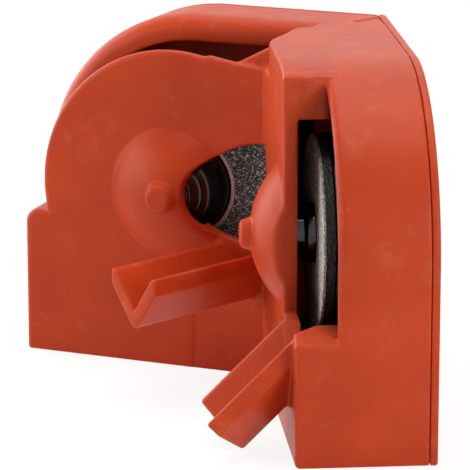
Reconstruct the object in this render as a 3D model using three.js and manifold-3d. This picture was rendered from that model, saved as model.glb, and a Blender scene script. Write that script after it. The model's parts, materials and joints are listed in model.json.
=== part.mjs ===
// Drill bit sharpener: two grinding drums in one moulded casing.
// Millimetres, +Z up. The right drum's axle runs along X. The left drum is turned, so that its
// front panel makes the drill point angle with the right drum's left wall.
// Pieces are worked out from the right drum's lower front left corner, and the whole group is
// then moved so that its origin is on the bench under the middle of the right drum's axle.
import * as THREE from 'three';
import { mergeVertices } from 'three/addons/utils/BufferGeometryUtils.js';
import Module from 'manifold-3d';

const wasm = await Module();
wasm.setup();

// Housing
const rimRadius = 45;
const axleHeight = 48;
const rightDepth = 35;
const cornerBack = 79.5;
const pointAngle = 118;
const wall = 2.4;
const rightPanelWall = 3.6;
const leftPanelWall = 3;
const coverThickness = 1.9;
const clearance = 0.3;
const cutOverrun = 1;

// Left drum: front panel, open slot behind it and the shell's front flange
const leftAxleFromCorner = 26.8;
const archRadius = 38.2;
const baseBelowAxle = 8.5;
const baseCornerRadius = 3;
const slotDepth = 15.5;
const shellDepth = 22;
const panelBelowRoof = 9;
const archEndReach = 15.5;
const roofCutReach = 4.6;
const roofCutFront = 9.5;
const rampRise = 5.6;
const rampThickness = 2.2;
// The arch starts a little below the base block, and the wheel room's corners miss the arch's
const archOverrunAngle = 1;
const wheelRoomTurn = 4;

// Right drum: recess that bares the wheel
const recessWidth = 10.2;
const recessBack = 30.5;
const recessBelowAxle = 17;
const recessHeadHeight = 13;
const ledgeReach = 9;
const ledgeRise = 3;

// Bearing domes
const domeRadius = 19;
const domeHeight = 7;
const domeInnerRadius = 14.2;
const domeInnerFace = 3.3;
const pipHeight = 2.6;
const pipBaseRadius = 4.9;
const pipTipRadius = 3.1;
// Their profiles as [radius, height], outside and in the hollow
const domeShares = [[0.42, 0.92], [0.6, 0.72], [0.76, 0.44], [0.9, 0.15]];
const hollowShares = [[0.52, 1], [0.78, 0.5]];

// Window in the left panel, measured from the axle towards the corner
const windowNoseRadius = 5.2;
const windowNoseReach = 10.8;
const windowTop = 15.2;
const windowBottom = 12.5;
const windowNoseAngle = 50;
// Its edges between the nose and the corner as [reach, height]
const windowLowerShares = [[0.5, 0.6]];
const windowUpperShares = [[0.87, 1], [0.66, 0.86], [0.5, 0.7]];

// Bit guides
const guideThickness = 2.3;
const guideTopWidth = 1.6;
const upperGuideLength = 40.8;
const upperGuideHeading = 37;
const upperGuideRise = 1.2;
const upperGuideFromCorner = 3.7;
const upperGuideHeight = 20.4;
const upperGuideHalfWidth = 8.6;
const upperGuideTall = 15.4;
const lowerGuideLength = 31;
const lowerGuideRise = 45;
const lowerGuideBack = 15.6;
const lowerGuideHeight = 11;
const lowerGuideHalfWidth = 10.6;
const lowerGuideTall = 14.2;
const guideSideHeight = 4.2;

// Wheels
const lightWheelRadius = 25;
const darkWheelRadius = 31;
const gritFace = 9;
const gritThickness = 3;
const gritInnerRadius = 13.1;
const flangeRadius = 12.8;
const backingThickness = 4;
const backingMargin = 0.6;
const hubNoseRadius = 6.3;
const hubNoseFace = 2.2;
const hubStepRadius = 8.6;
const hubStepDepth = 0.9;
const hubShoulderRadius = 10.2;
const hubShoulderDepth = 2.6;
const hubBackRadius = 8;
const hubBackFillet = 2;

// Spindle, bearings and what locks the hub
const seatRadius = 4;
const noseJournalRadius = 1.8;
const driveJournalRadius = 5;
const driveEndInset = 0.4;
const socketFlats = 6.5;
const socketDepth = 10;
const clipThickness = 0.9;
const clipSetback = 0.9;
const clipRadius = 5.3;
const clipWell = 2.4;
const clipWellRadius = 5.8;
const grooveDepth = 1;
const clipMouth = 70;
const pinRadius = 1.25;
const pinShort = 1;
const noseBushRadius = 3.1;
const noseBushLength = 3.2;
const bossRadius = 10;
const bossLength = 6.5;
const coverBushRadius = 7;
const washerRadius = 8.5;
const washerThickness = 1;
const sealRadius = 9;
const sealThickness = 2.3;

// Screws and their posts
const screwRadius = 1.5;
const screwHeadRadius = 2.9;
const screwHeadHeight = 1.5;
const screwLength = 11;
const driveSlotWidth = 1;
const driveSlotDepth = 0.8;
const driveSlotLength = 3.6;
const postRadius = 3.6;
const postLength = 16;
const postFromEdge = 5.6;
const rightRimPostAngle = 55;
const leftRimPostAngle = 50;

const arcSteps = 18;
const roundSteps = 40;
const smallSteps = 16;
const cornerSteps = 6;
const mergeDistance = 1e-4;

const housingHeight = axleHeight + rimRadius;
const panelLift = rimRadius - panelBelowRoof;
const recessFloor = axleHeight - recessBelowAxle;
const leftDepth = slotDepth + shellDepth;
const rightCase = rightDepth - coverThickness - clearance;
const leftCase = leftDepth - coverThickness - clearance;

// Drum frames: across, up and inward, with the origin on the axle at the panel's outer face
const radians = (degrees) => THREE.MathUtils.degToRad(degrees);
const rightAngle = 90;
const turn = radians(pointAngle - rightAngle);
const alongPanel = new THREE.Vector3(Math.cos(turn), -Math.sin(turn), 0);
const up = new THREE.Vector3(0, 0, 1);
const rightAcross = new THREE.Vector3(0, 1, 0);
const rightInward = new THREE.Vector3(1, 0, 0);
const leftAcross = alongPanel.clone().negate();
const leftInward = new THREE.Vector3(Math.sin(turn), Math.cos(turn), 0);
const corner = new THREE.Vector3(0, cornerBack, 0);

function frameAt(origin, across, inward) {
  return new THREE.Matrix4().makeBasis(across, up, inward).setPosition(origin);
}

const rightFrame = frameAt(new THREE.Vector3(0, rimRadius, axleHeight), rightAcross, rightInward);
const leftOrigin = corner.clone().addScaledVector(leftAcross, leftAxleFromCorner).setZ(axleHeight);
const leftFrame = frameAt(leftOrigin, leftAcross, leftInward);

// A closed three.js geometry becomes a solid and is put in its place
function solid(geometry, place) {
  geometry.deleteAttribute('normal');
  geometry.deleteAttribute('uv');
  const merged = mergeVertices(geometry, mergeDistance);
  return new wasm.Manifold(new wasm.Mesh({
    numProp: 3,
    vertProperties: new Float32Array(merged.attributes.position.array),
    triVerts: new Uint32Array(merged.index.array),
  })).transform(place.elements);
}

function join(solids) {
  return solids.reduce((whole, piece) => whole.add(piece));
}

function cut(base, tools) {
  return tools.reduce((rest, tool) => rest.subtract(tool), base);
}

function shapeOf(points) {
  return new THREE.Shape(points.map(([x, y]) => new THREE.Vector2(x, y)));
}

// A flat outline pushed inward from one depth to another
function prism(points, from, to, frame) {
  const geometry = new THREE.ExtrudeGeometry(shapeOf(points), { depth: to - from, bevelEnabled: false });
  const { position } = geometry.attributes;
  for (let i = 0; i < position.count; i += 1) {
    position.setZ(i, position.getZ(i) > 0 ? to : from);
  }
  return solid(geometry, frame);
}

// A profile of (radius, depth) points turned about the axle
function turned(points, frame, steps = roundSteps) {
  const geometry = new THREE.LatheGeometry(points.map(([r, d]) => new THREE.Vector2(r, d)), steps);
  const stand = new THREE.Matrix4().makeRotationX(Math.PI / 2);
  return solid(geometry, frame.clone().multiply(stand));
}

function tube(outer, inner, from, to, frame, steps = roundSteps) {
  return turned([[inner, from], [outer, from], [outer, to], [inner, to], [inner, from]], frame, steps);
}

function rod(radius, from, to, frame, steps = roundSteps) {
  return turned([[0, from], [radius, from], [radius, to], [0, to]], frame, steps);
}

function onRing(radius, degrees, centre = [0, 0]) {
  const angle = radians(degrees);
  return [centre[0] + radius * Math.cos(angle), centre[1] + radius * Math.sin(angle)];
}

function arc(radius, from, to, centre = [0, 0], steps = arcSteps) {
  return Array.from({ length: steps + 1 }, (unused, i) => (
    onRing(radius, from + (to - from) * i / steps, centre)));
}

function circle(radius, steps, start = 0) {
  return arc(radius, start, start + 360 * (steps - 1) / steps, [0, 0], steps - 1);
}

function rectangle(x0, x1, y0, y1) {
  return [[x0, y0], [x1, y0], [x1, y1], [x0, y1]];
}

// A drum seen along its axle: round on the rim side, flat roof and floor on the other
function drumOutline(rimSide, radius, reach, floor) {
  const quarter = rimSide > 0 ? arc(radius, 0, rightAngle) : arc(radius, 2 * rightAngle, rightAngle);
  return [[rimSide * radius, floor], ...quarter, [-rimSide * reach, radius], [-rimSide * reach, floor]];
}

const worldFrame = new THREE.Matrix4();
const farReach = 2 * cornerBack;
const bench = -axleHeight;

function worldBox(x0, x1, y0, y1, z0, z1) {
  return prism(rectangle(x0, x1, y0, y1), z0, z1, worldFrame);
}

// Everything right of a plane across X, and everything behind a plane inside the left drum
function rightOf(x) {
  return worldBox(x, x + farReach, -farReach, 2 * farReach, -cutOverrun, housingHeight + cutOverrun);
}

function behindLeft(depth) {
  const outline = rectangle(-farReach, farReach, bench - cutOverrun, rimRadius + cutOverrun);
  return prism(outline, depth, depth + farReach, leftFrame);
}

// The bearing dome with its pip, and the hollow inside it
const domeReach = domeHeight + pipHeight;

function domeOuter(frame) {
  return turned([
    [0, -domeReach], [pipTipRadius, -domeReach], [pipBaseRadius, -domeHeight],
    ...domeShares.map(([radius, height]) => [domeRadius * radius, -domeHeight * height]),
    [domeRadius, 0], [domeRadius, cutOverrun], [0, cutOverrun],
  ], frame);
}

function domeHollow(panelWall, frame) {
  const bushSeat = noseBushRadius + clearance;
  const seatDepth = domeInnerFace + noseBushLength + clearance;
  return turned([
    [0, -seatDepth], [bushSeat, -seatDepth], [bushSeat, -domeInnerFace],
    ...hollowShares.map(([radius, height]) => [domeInnerRadius * radius, -domeInnerFace * height]),
    [domeInnerRadius, cutOverrun], [domeInnerRadius, panelWall + cutOverrun], [0, panelWall + cutOverrun],
  ], frame);
}

// A V guide: its axis runs from the low end to the wheel, and the section is (side, up)
function guideFrame(foot, heading, rise) {
  const flat = Math.cos(radians(rise));
  const along = new THREE.Vector3(
    Math.cos(radians(heading)) * flat,
    Math.sin(radians(heading)) * flat,
    Math.sin(radians(rise)),
  );
  const side = new THREE.Vector3(Math.sin(radians(heading)), -Math.cos(radians(heading)), 0);
  const lift = new THREE.Vector3().crossVectors(side, along);
  return new THREE.Matrix4().makeBasis(lift, side, along).setPosition(foot);
}

function guideSection(halfWidth, tall) {
  const sideFoot = tall - guideSideHeight;
  const mouth = halfWidth - guideTopWidth;
  const inner = guideThickness / Math.sin(Math.atan2(halfWidth, sideFoot));
  return {
    channel: [
      [0, 0], [sideFoot, halfWidth], [tall, halfWidth], [tall, mouth],
      [inner, 0], [tall, -mouth], [tall, -halfWidth], [sideFoot, -halfWidth],
    ],
    groove: [[inner, 0], [tall + cutOverrun, mouth], [tall + cutOverrun, -mouth]],
  };
}

const upperFoot = corner.clone().addScaledVector(leftAcross, upperGuideFromCorner).setZ(upperGuideHeight);
const upperFrame = guideFrame(upperFoot, upperGuideHeading, upperGuideRise);
const upperSection = guideSection(upperGuideHalfWidth, upperGuideTall);
const lowerFoot = new THREE.Vector3(0, lowerGuideBack, lowerGuideHeight);
const lowerFrame = guideFrame(lowerFoot, 0, lowerGuideRise);
const lowerSection = guideSection(lowerGuideHalfWidth, lowerGuideTall);
const lowerGuideFall = lowerGuideHeight / Math.sin(radians(lowerGuideRise));

// Screw posts stand in the drum corners, as [across, up]
const postRing = rimRadius - postFromEdge;
const rightPosts = [
  [-postRing, bench + postFromEdge],
  onRing(postRing, 2 * rightAngle - rightRimPostAngle),
  [cornerBack - rimRadius, bench + postFromEdge],
  [cornerBack - rimRadius, postRing],
];
const leftPosts = [
  [postRing, bench + postFromEdge],
  onRing(postRing, leftRimPostAngle),
  [-leftAxleFromCorner, bench + postFromEdge],
  [-leftAxleFromCorner, postRing],
];

function frameOn(frame, [across, lift]) {
  return frame.clone().multiply(new THREE.Matrix4().makeTranslation(across, lift, 0));
}

function posts(places, end, frame) {
  return places.map((place) => (
    rod(postRadius, end - postLength, end + cutOverrun, frameOn(frame, place), smallSteps)));
}

function pilotHoles(places, end, frame) {
  const hole = screwRadius + clearance;
  return places.map((place) => (
    rod(hole, end - screwLength, end + cutOverrun, frameOn(frame, place), smallSteps)));
}

// The casing is closed on every side but the two covers'
function makeCasing() {
  const rightBody = prism(drumOutline(-1, rimRadius, farReach, bench), 0, rightDepth, rightFrame);
  const leftShell = prism(drumOutline(1, rimRadius, farReach, bench), slotDepth, leftDepth, leftFrame);
  const cornerReach = -leftAxleFromCorner - rightPanelWall / 2;
  const slotEnd = -leftAxleFromCorner - roofCutReach;
  const baseLift = -baseBelowAxle;
  const baseOutline = [
    [cornerReach, bench], [rimRadius, bench],
    ...arc(
      baseCornerRadius, 0, rightAngle,
      [rimRadius - baseCornerRadius, baseLift - baseCornerRadius], cornerSteps),
    [cornerReach, baseLift],
  ];
  const archStart = THREE.MathUtils.radToDeg(Math.asin(baseLift / archRadius)) - archOverrunAngle;
  const archEnd = THREE.MathUtils.radToDeg(Math.acos(-archEndReach / archRadius));
  const archOutline = [
    ...arc(archRadius, archStart, archEnd, [0, 0], 2 * arcSteps),
    [cornerReach, panelLift + cutOverrun], [cornerReach, baseLift - cutOverrun],
  ];
  const leftBase = prism(baseOutline, 0, slotDepth + wall, leftFrame);
  const leftPanel = prism(archOutline, 0, leftPanelWall + cutOverrun, leftFrame);
  const shell = cut(
    join([rightBody, leftShell, leftBase, leftPanel]), [rightOf(rightDepth), behindLeft(leftDepth)]);

  const recess = worldBox(
    -domeReach - cutOverrun, recessWidth, -cutOverrun, recessBack, recessFloor,
    housingHeight + cutOverrun);
  const roofCut = prism(
    rectangle(
      slotEnd, roofCutReach / 2 - leftAxleFromCorner, panelLift, rimRadius + cutOverrun),
    -roofCutFront, leftPanelWall + cutOverrun, leftFrame);
  const noseTurn = 2 * rightAngle - windowNoseAngle;
  const pastCorner = -leftAxleFromCorner - cutOverrun;
  const windowOutline = [
    ...arc(windowNoseRadius, noseTurn, -noseTurn, [-windowNoseReach, 0]),
    ...windowLowerShares.map(([reach, height]) => [-leftAxleFromCorner * reach, -windowBottom * height]),
    [pastCorner, -windowBottom], [pastCorner, windowTop],
    ...windowUpperShares.map(([reach, height]) => [-leftAxleFromCorner * reach, windowTop * height]),
  ];
  const leftWindow = prism(windowOutline, -domeReach, leftPanelWall + cutOverrun, leftFrame);
  const dressed = cut(
    join([shell, domeOuter(rightFrame), domeOuter(leftFrame)]), [recess, roofCut, leftWindow]);

  const benchCut = worldBox(-farReach, farReach, -farReach, farReach, -farReach, 0);
  const upperGuide = cut(
    prism(upperSection.channel, -upperGuideLength, upperGuideLength / 2, upperFrame),
    [rightOf(rightPanelWall / 2), behindLeft(leftPanelWall / 2)]);
  const lowerGuide = cut(
    prism(lowerSection.channel, lowerGuideFall - lowerGuideLength, lowerGuideLength, lowerFrame),
    [rightOf(rightPanelWall / 2), benchCut]);
  const guided = join([dressed, upperGuide, lowerGuide]);

  const [rightInside, leftInside] = [-1, 1].map((rimSide) => (
    drumOutline(rimSide, rimRadius - wall, farReach, bench + wall)));
  const rightCavity = prism(rightInside, rightPanelWall, rightCase + cutOverrun, rightFrame)
    .subtract(behindLeft(leftCase - wall));
  const leftCavity = prism(leftInside, slotDepth + wall, leftCase + cutOverrun, leftFrame)
    .subtract(rightOf(rightCase - wall));
  const baseCavity = prism(
    rectangle(slotEnd, rimRadius - wall, bench + wall, baseLift - wall),
    leftPanelWall, slotDepth + wall + cutOverrun, leftFrame);
  const slot = prism(
    rectangle(slotEnd, rimRadius + cutOverrun, baseLift, rimRadius + cutOverrun),
    leftPanelWall, slotDepth, leftFrame);
  const flangeOutline = [
    [cornerReach, baseLift], ...arc(archRadius, archStart, rightAngle), [cornerReach, archRadius],
  ];
  const pastSlot = slotDepth + wall + cutOverrun;
  const flangeMouth = prism(flangeOutline, slotDepth - cutOverrun, pastSlot, leftFrame);
  const wheelRoomOutline = circle(darkWheelRadius + backingMargin + wall, roundSteps, wheelRoomTurn);
  const wheelRoom = prism(wheelRoomOutline, leftPanelWall, pastSlot, leftFrame);
  const hollowed = cut(guided, [
    rightCavity, leftCavity, baseCavity, slot, flangeMouth, wheelRoom,
    domeHollow(rightPanelWall, rightFrame), domeHollow(leftPanelWall, leftFrame),
  ]);

  const rampFoot = panelLift - wall;
  const ramp = prism([
    [rampThickness - archEndReach, rampFoot], [cornerReach, rampFoot],
    [cornerReach, panelLift + rampRise],
  ], leftPanelWall - rampThickness / 2, leftPanelWall + rampThickness / 2, leftFrame);
  const ledgeLift = -recessBelowAxle;
  const ledge = prism([
    [-rimRadius, ledgeLift - wall], [ledgeReach - rimRadius, ledgeLift + ledgeRise - wall],
    [ledgeReach - rimRadius, ledgeLift + ledgeRise], [-rimRadius, ledgeLift],
  ], 0, recessWidth, rightFrame);
  const recessHead = worldBox(
    0, recessWidth + wall, recessBack, recessBack + wall,
    housingHeight - recessHeadHeight, housingHeight)
    .intersect(rightBody);
  const grown = join([hollowed, ramp, ledge, recessHead])
    .add(join(posts(rightPosts, rightCase, rightFrame)).intersect(rightBody))
    .add(join(posts(leftPosts, leftCase, leftFrame)).intersect(leftShell));

  const upperGroove = prism(
    upperSection.groove, -upperGuideLength - cutOverrun, upperGuideLength / 2, upperFrame)
    .subtract(rightOf(-clearance))
    .subtract(behindLeft(leftPanelWall + cutOverrun));
  const lowerGroove = prism(lowerSection.groove, -lowerGuideLength, lowerGuideLength, lowerFrame)
    .subtract(rightOf(recessWidth));
  return cut(grown, [
    upperGroove, lowerGroove, rightOf(rightCase), behindLeft(leftCase),
    ...pilotHoles(rightPosts, rightCase, rightFrame), ...pilotHoles(leftPosts, leftCase, leftFrame),
  ]);
}

// A cover is a flat plate with the far bearing's boss on its inner face
function makeCover(depth, rimSide, places, frame, trims) {
  const inner = depth - coverThickness;
  const plate = cut(prism(drumOutline(rimSide, rimRadius, farReach, bench), inner, depth, frame), trims);
  const boss = rod(bossRadius, inner - bossLength, inner + cutOverrun, frame);
  const bushSeat = rod(coverBushRadius + clearance, inner - bossLength - cutOverrun, inner, frame);
  const port = rod(driveJournalRadius + clearance, inner - cutOverrun, depth + cutOverrun, frame);
  const sinks = places.map((place) => {
    const spot = frameOn(frame, place);
    const head = screwHeadRadius + clearance;
    const shank = screwRadius + clearance;
    return turned([
      [0, inner - cutOverrun], [shank, inner - cutOverrun], [shank, depth - screwHeadHeight - clearance],
      [head, depth - clearance], [head, depth + cutOverrun], [0, depth + cutOverrun],
    ], spot, smallSteps);
  });
  return cut(plate.add(boss), [bushSeat, port, ...sinks]);
}

// One countersunk screw with a straight driver slot
function makeScrew(depth, place, frame) {
  const spot = frameOn(frame, place);
  const top = depth - clearance;
  const body = turned([
    [0, top - screwLength + clearance], [screwRadius, top - screwLength + screwRadius],
    [screwRadius, top - screwHeadHeight], [screwHeadRadius, top], [0, top],
  ], spot, smallSteps);
  const slotOutline = rectangle(
    -driveSlotLength / 2, driveSlotLength / 2, -driveSlotWidth / 2, driveSlotWidth / 2);
  return body.subtract(prism(slotOutline, top - driveSlotDepth, top + cutOverrun, spot));
}

function hexagon(flats) {
  return circle(flats / Math.sqrt(3), 6);
}

// Everything on one axle, from the panel's outer face inward
function makeWheelSet(wheelRadius, depth, frame) {
  const coverInner = depth - coverThickness;
  const bossFace = coverInner - bossLength;
  const sealFrom = bossFace - clearance - sealThickness;
  const washerFrom = sealFrom - clearance - washerThickness;
  const hubBack = washerFrom - clearance;
  const backingFrom = gritFace + gritThickness + clearance;
  const backingTo = backingFrom + backingThickness;
  const backingRadius = wheelRadius + backingMargin;
  const clipFrom = -hubNoseFace + clipSetback;
  const clipTo = clipFrom + clipThickness;
  const bore = seatRadius + clearance;
  const pinDepth = (backingTo + hubBack) / 2;
  const pinFrame = frame.clone()
    .multiply(new THREE.Matrix4().makeTranslation(0, 0, pinDepth))
    .multiply(new THREE.Matrix4().makeRotationX(Math.PI / 2));
  const pinHole = rod(pinRadius + clearance, -bossRadius, bossRadius, pinFrame, smallSteps);

  const hub = turned([
    [clipWellRadius, -hubNoseFace], [hubNoseRadius, -hubNoseFace], [hubStepRadius, 0],
    [hubStepRadius, hubStepDepth], [hubShoulderRadius, hubShoulderDepth / 2],
    [hubShoulderRadius, hubShoulderDepth], [flangeRadius - clearance, gritFace - gritThickness / 2],
    [flangeRadius, gritFace - clearance], [flangeRadius, backingFrom], [backingRadius, backingFrom],
    [backingRadius, backingTo], [hubBackRadius + hubBackFillet, backingTo],
    [hubBackRadius, backingTo + hubBackFillet], [hubBackRadius, hubBack], [bore, hubBack],
    [bore, clipWell - hubNoseFace], [clipWellRadius, clipWell - hubNoseFace],
    [clipWellRadius, -hubNoseFace],
  ], frame);
  const grit = tube(
    wheelRadius, gritInnerRadius, gritFace, gritFace + gritThickness, frame, 3 * smallSteps);

  const journalEnd = -domeInnerFace - noseBushLength;
  const driveEnd = depth - driveEndInset;
  const groove = seatRadius - grooveDepth;
  const spindle = cut(turned([
    [0, journalEnd], [noseJournalRadius, journalEnd], [noseJournalRadius, -domeInnerFace + clearance],
    [groove, -domeInnerFace + clearance], [seatRadius, clipFrom - clearance],
    [groove, clipFrom - clearance], [groove, clipTo + clearance], [seatRadius, clipTo + clearance],
    [seatRadius, hubBack + clearance], [driveJournalRadius, hubBack + clearance],
    [driveJournalRadius, driveEnd], [0, driveEnd],
  ], frame), [
    prism(hexagon(socketFlats), driveEnd - socketDepth, driveEnd + cutOverrun, frame), pinHole,
  ]);

  const halfMouth = clipMouth / 2;
  const clip = prism([
    ...arc(clipRadius, halfMouth, 360 - halfMouth, [0, 0], smallSteps),
    ...arc(groove + clearance, 360 - halfMouth, halfMouth, [0, 0], smallSteps),
  ], clipFrom, clipTo, frame);
  const pinHalf = hubBackRadius - pinShort;
  return {
    grit_ring: grit,
    wheel_hub: hub.subtract(pinHole),
    spindle,
    hub_clip: clip,
    hub_pin: rod(pinRadius, -pinHalf, pinHalf, pinFrame, smallSteps),
    nose_bush: tube(
      noseBushRadius, noseJournalRadius + clearance, journalEnd, -domeInnerFace, frame, smallSteps),
    thrust_washer: tube(
      washerRadius, driveJournalRadius + clearance, washerFrom, washerFrom + washerThickness, frame),
    felt_seal: tube(sealRadius, driveJournalRadius + clearance, sealFrom, sealFrom + sealThickness, frame),
    cover_bush: tube(
      coverBushRadius, driveJournalRadius + clearance, bossFace, coverInner - clearance, frame),
  };
}

const finishes = {
  casing: { color: 0xc5432c, roughness: 0.45, metalness: 0 },
  cover: { color: 0xc5432c, roughness: 0.45, metalness: 0 },
  hub: { color: 0x101012, roughness: 0.18, metalness: 0 },
  darkGrit: { color: 0x3a3a3c, roughness: 0.9, metalness: 0 },
  lightGrit: { color: 0xa9a6a0, roughness: 0.9, metalness: 0 },
  steel: { color: 0xb4b6b8, roughness: 0.3, metalness: 1 },
  bronze: { color: 0x9a6b3a, roughness: 0.45, metalness: 1 },
  felt: { color: 0x6b6660, roughness: 1, metalness: 0 },
};

const part = new THREE.Group();
part.position.set(-rightDepth / 2, -rimRadius, 0);

function addPiece(name, piece, finish) {
  const { vertProperties, triVerts } = piece.getMesh();
  const geometry = new THREE.BufferGeometry();
  geometry.setAttribute('position', new THREE.BufferAttribute(new Float32Array(vertProperties), 3));
  geometry.setIndex(new THREE.BufferAttribute(new Uint32Array(triVerts), 1));
  geometry.computeVertexNormals();
  const mesh = new THREE.Mesh(geometry, new THREE.MeshStandardMaterial(finishes[finish]));
  mesh.name = name;
  part.add(mesh);
}

const rightCover = makeCover(rightDepth, -1, rightPosts, rightFrame, [behindLeft(leftDepth)]);
const rearCover = makeCover(leftDepth, 1, leftPosts, leftFrame, [rightOf(rightCase)]);
addPiece('main_casing', makeCasing(), 'casing');
addPiece('right_cover', rightCover, 'cover');
addPiece('rear_cover', rearCover, 'cover');
rightPosts.forEach((place, i) => {
  addPiece(`right_cover_screw_${i + 1}`, makeScrew(rightDepth, place, rightFrame), 'steel');
});
leftPosts.forEach((place, i) => {
  addPiece(`rear_cover_screw_${i + 1}`, makeScrew(leftDepth, place, leftFrame), 'steel');
});

const setFinishes = {
  wheel_hub: 'hub', spindle: 'steel', hub_clip: 'steel', hub_pin: 'steel', nose_bush: 'bronze',
  thrust_washer: 'steel', felt_seal: 'felt', cover_bush: 'bronze',
};
const wheelSets = [
  ['light', lightWheelRadius, rightDepth, rightFrame, 'lightGrit'],
  ['dark', darkWheelRadius, leftDepth, leftFrame, 'darkGrit'],
];
for (const [name, radius, depth, frame, gritFinish] of wheelSets) {
  for (const [piece, shape] of Object.entries(makeWheelSet(radius, depth, frame))) {
    addPiece(`${name}_${piece}`, shape, setFinishes[piece] ?? gritFinish);
  }
}

export default part;
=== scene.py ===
# Drill bit sharpener: the finished casing, covers and wheels, made around the CAD frame
import json
import math

import bmesh
import bpy
import numpy as np
import openvdb
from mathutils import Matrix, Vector


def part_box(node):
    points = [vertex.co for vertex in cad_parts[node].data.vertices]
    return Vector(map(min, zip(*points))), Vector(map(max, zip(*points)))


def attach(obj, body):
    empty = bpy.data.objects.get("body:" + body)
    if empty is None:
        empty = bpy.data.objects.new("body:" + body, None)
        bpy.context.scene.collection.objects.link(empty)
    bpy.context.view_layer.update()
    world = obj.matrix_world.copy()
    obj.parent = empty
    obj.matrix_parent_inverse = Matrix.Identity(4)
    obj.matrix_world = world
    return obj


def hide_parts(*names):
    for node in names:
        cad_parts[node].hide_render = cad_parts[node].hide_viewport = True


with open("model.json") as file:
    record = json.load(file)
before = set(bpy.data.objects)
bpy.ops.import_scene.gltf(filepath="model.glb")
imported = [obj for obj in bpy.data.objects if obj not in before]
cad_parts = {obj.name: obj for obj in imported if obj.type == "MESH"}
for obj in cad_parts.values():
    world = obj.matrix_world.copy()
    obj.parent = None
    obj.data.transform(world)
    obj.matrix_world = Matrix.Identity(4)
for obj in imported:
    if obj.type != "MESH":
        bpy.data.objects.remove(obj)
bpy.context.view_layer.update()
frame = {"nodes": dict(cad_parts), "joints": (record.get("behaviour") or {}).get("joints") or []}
nodes = frame["nodes"]
joints = {joint["name"]: joint for joint in frame["joints"]}
print("frame loaded")

mm = 0.001  # the frame is in metres, the sizes below are in millimetres


# the camera, from the photo's outline, with the nearest and farthest that it sees
camera = {"place": (-93.8, -761.8, 237.9), "turn": 4.92, "tilt": 13.97, "lens": 239.5, "sensor": 36,
          "near": 50, "far": 50000}


def makeCamera():
    data = bpy.data.cameras.new("camera")
    data.lens = camera["lens"]
    data.sensor_width = camera["sensor"]
    data.clip_start = camera["near"] * mm
    data.clip_end = camera["far"] * mm
    obj = bpy.data.objects.new("camera", data)
    bpy.context.scene.collection.objects.link(obj)
    obj.location = Vector(camera["place"]) * mm
    obj.rotation_euler = (math.radians(90 - camera["tilt"]), 0, -math.radians(camera["turn"]))
    bpy.context.scene.camera = obj


makeCamera()
print("camera placed")


# colours are written as sRGB hex
def colour(hexText):
    channels = [int(hexText[i:i + 2], 16) / 255 for i in (0, 2, 4)]
    return [c / 12.92 if c <= 0.04045 else ((c + 0.055) / 1.055) ** 2.4 for c in channels] + [1]


# adds a node with its settings and links. A setting is a socket's name or number, an attribute, or a
# colour ramp's stops, and a link comes from a socket or from a node's first output
def addNode(tree, kind, settings=None, links=None):
    node = tree.nodes.new(kind)
    for key, value in (settings or {}).items():
        if key == "stops":
            setStops(node.color_ramp.elements, value)
        elif isinstance(key, int) or key in node.inputs:
            node.inputs[key].default_value = value
        else:
            setattr(node, key, value)
    for key, source in (links or {}).items():
        tree.links.new(getattr(source, "outputs", [source])[0], node.inputs[key])
    return node


def setStops(elements, stops):
    for number, (place, shade) in enumerate(stops):
        element = elements[number] if number < len(elements) else elements.new(place)
        element.position = place
        element.color = shade if isinstance(shade, list) else [shade] * 3 + [1]


def newMaterial(name):
    material = bpy.data.materials.new(name)
    material.use_nodes = True
    tree = material.node_tree
    tree.nodes.clear()
    place = {"Vector": addNode(tree, "ShaderNodeTexCoord").outputs["Object"]}
    return material, tree, place


def perMm(size):
    return 1 / (size * mm)  # a pattern's scale for features of this many millimetres


# moulded polypropylene, dyed through: a satin skin, slightly waxy and translucent at thin edges,
# with fine orange peel, flow marks, pale rub marks and specks, and near-black painted shade inside the wheel
# chambers
plasticLook = {
    "base": "bf401d", "ior": 1.49, "shine": 0.17, "roughStops": [(0.3, 0.33), (0.75, 0.47)],
    "flow": "cb481f", "flowSize": 24, "flowBend": 0.8, "flowStops": [(0.35, 0), (0.65, 1)],
    "rub": "d9805f", "rubSize": 9, "rubStops": [(0.56, 0), (0.76, 0.4)],
    "speckSize": 1.1, "speckStops": [(0.58, 0), (0.7, 0.5)],
    "patchSize": 17, "patchStops": [(0.52, 0), (0.68, 1)],
    # painted shade: the dust colour, its mottle and its roughness darken the chambers' insides
    "dust": "17110f", "dustSize": 4, "dustStops": [(0.3, 0.9), (0.65, 1)], "chamberShadeRough": 0.8,
    "peelSize": 0.7, "peelHeight": 0.016, "waveSize": 14, "waveHeight": 0.05,
    "glow": 0.25, "glowRadius": (1.0, 0.24, 0.1), "glowScale": 2.0,
}


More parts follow.
